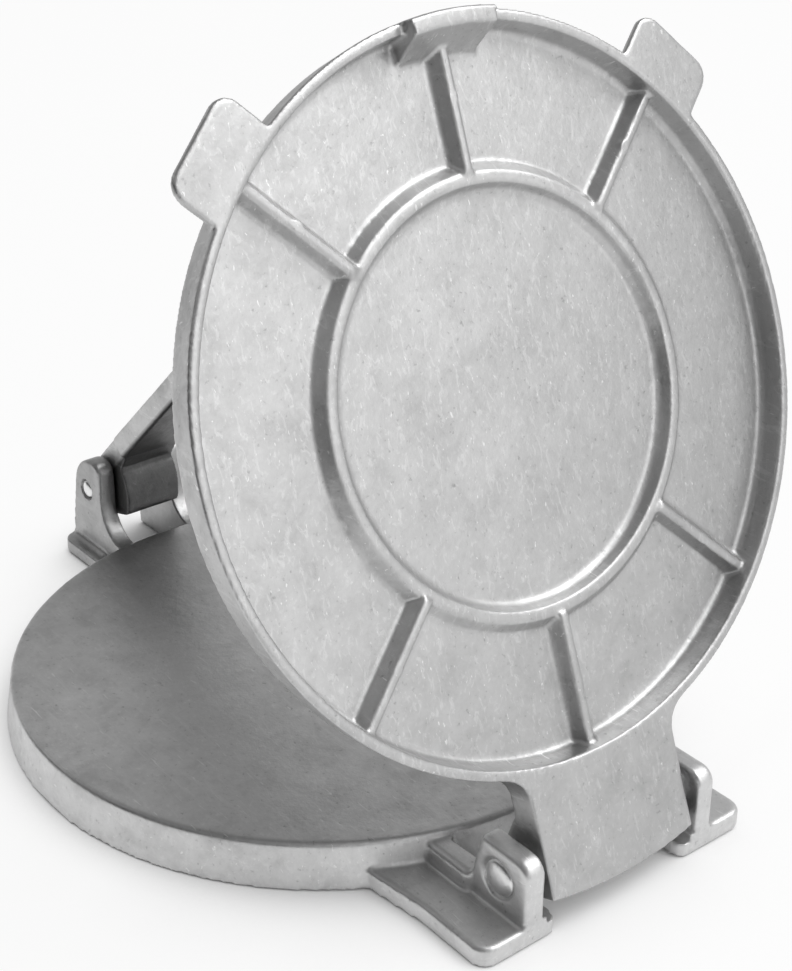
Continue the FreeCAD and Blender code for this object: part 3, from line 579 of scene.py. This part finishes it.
# The paper reads as white to the camera and in reflections, and still takes the shadow
lightPath = addNode(floorTree, "ShaderNodeLightPath", -400, 400)
mirrored = addNode(floorTree, "ShaderNodeMath", -200, 400, operation="ADD")
link(floorTree, lightPath, "Is Glossy Ray", mirrored, 0)
link(floorTree, lightPath, "Is Transmission Ray", mirrored, 1)
looking = addNode(floorTree, "ShaderNodeMath", 0, 400, operation="ADD")
link(floorTree, lightPath, "Is Camera Ray", looking, 0)
link(floorTree, mirrored, "Value", looking, 1)
glowShare = addNode(floorTree, "ShaderNodeMath", 200, 400, operation="MULTIPLY")
link(floorTree, looking, "Value", glowShare, 0)
# Under the object the paper is in shade
shade = addShade(floorTree, studio["shadeReach"], -200, 700)
shadeStops = [(studio["shadeFrom"], 0.0), (studio["shadeTo"], studio["floorGlowShare"])]
shadeTone = addRamp(floorTree, shade, "AO", shadeStops, 0, 700)
link(floorTree, shadeTone, "Color", glowShare, 1)
glow = addNode(floorTree, "ShaderNodeEmission", 200, 200)
floorMix = addNode(floorTree, "ShaderNodeMixShader", 450, 100)
link(floorTree, glowShare, "Value", floorMix, 0)
link(floorTree, floorShader, "BSDF", floorMix, 1)
link(floorTree, glow, "Emission", floorMix, 2)
link(floorTree, floorMix, "Shader", floorTree.nodes["Material Output"], "Surface")
dress(floor, floorMaterial)

# A black flag to the left keeps the slopes that face it dark
flag = newBlock("flag", studio["flagLow"], studio["flagHigh"])
flagMaterial, flagTree, flagShader = newMaterial("black cloth")
flagShader.inputs["Base Color"].default_value = [studio["flagGrey"]] * 3 + [1]
flagShader.inputs["Roughness"].default_value = studio["flagRough"]
dress(flag, flagMaterial)
flag.visible_camera = False

# The room is light at the height of the table and dim overhead
world = bpy.data.worlds.new("studio")
bpy.context.scene.world = world
world.use_nodes = True
worldTree = world.node_tree
background = worldTree.nodes["Background"]
background.inputs["Color"].default_value = (1, 1, 1, 1)
sky = addNode(worldTree, "ShaderNodeTexCoord", -800, 0)
skyParts = addNode(worldTree, "ShaderNodeSeparateXYZ", -600, 0)
link(worldTree, sky, "Generated", skyParts, "Vector")
skyTone = addNode(worldTree, "ShaderNodeMapRange", -400, 0)
setInputs(skyTone, {"From Min": studio["dimFrom"], "From Max": studio["dimTo"],
                    "To Min": studio["worldGrey"], "To Max": studio["ceilingGrey"]})
link(worldTree, skyParts, "Z", skyTone, "Value")
link(worldTree, skyTone, "Result", background, "Strength")

for lampName in ("side", "overhead"):
    lampPlace = Vector(studio[lampName + "Place"])
    bpy.ops.object.light_add(type="AREA", location=lampPlace)
    lamp = bpy.context.object
    lamp.name = lampName + " lamp"
    lamp.data.energy = studio[lampName + "Power"]
    lamp.data.size = studio[lampName + "Size"]
    lamp.rotation_euler = (Vector(studio["lampTarget"]) - lampPlace).to_track_quat("-Z", "Y").to_euler()

photoView = {
    "place": (-0.39258, 0.28940, 0.31910),
    "azimuth": 38.88, "elevation": 26.89, "roll": 0.32,
    "lens": 81.547, "sensor": 36.0,
}
azimuth = math.radians(photoView["azimuth"])
elevation = math.radians(photoView["elevation"])
roll = math.radians(photoView["roll"])
ahead = Vector((math.cos(elevation) * math.cos(azimuth), -math.cos(elevation) * math.sin(azimuth),
                -math.sin(elevation)))
right = ahead.cross(Vector((0, 0, 1))).normalized()
up = right.cross(ahead)
rolledRight = math.cos(roll) * right + math.sin(roll) * up
rolledUp = -math.sin(roll) * right + math.cos(roll) * up
bpy.ops.object.camera_add()
camera = bpy.context.object
camera.matrix_world = Matrix.Translation(photoView["place"]) @ Matrix(
    (rolledRight, rolledUp, -ahead)).transposed().to_4x4()
camera.data.sensor_fit = "HORIZONTAL"
camera.data.sensor_width = photoView["sensor"]
camera.data.lens = photoView["lens"]
bpy.context.scene.camera = camera
bpy.context.scene.view_settings.view_transform = "Standard"
print("studio ready")
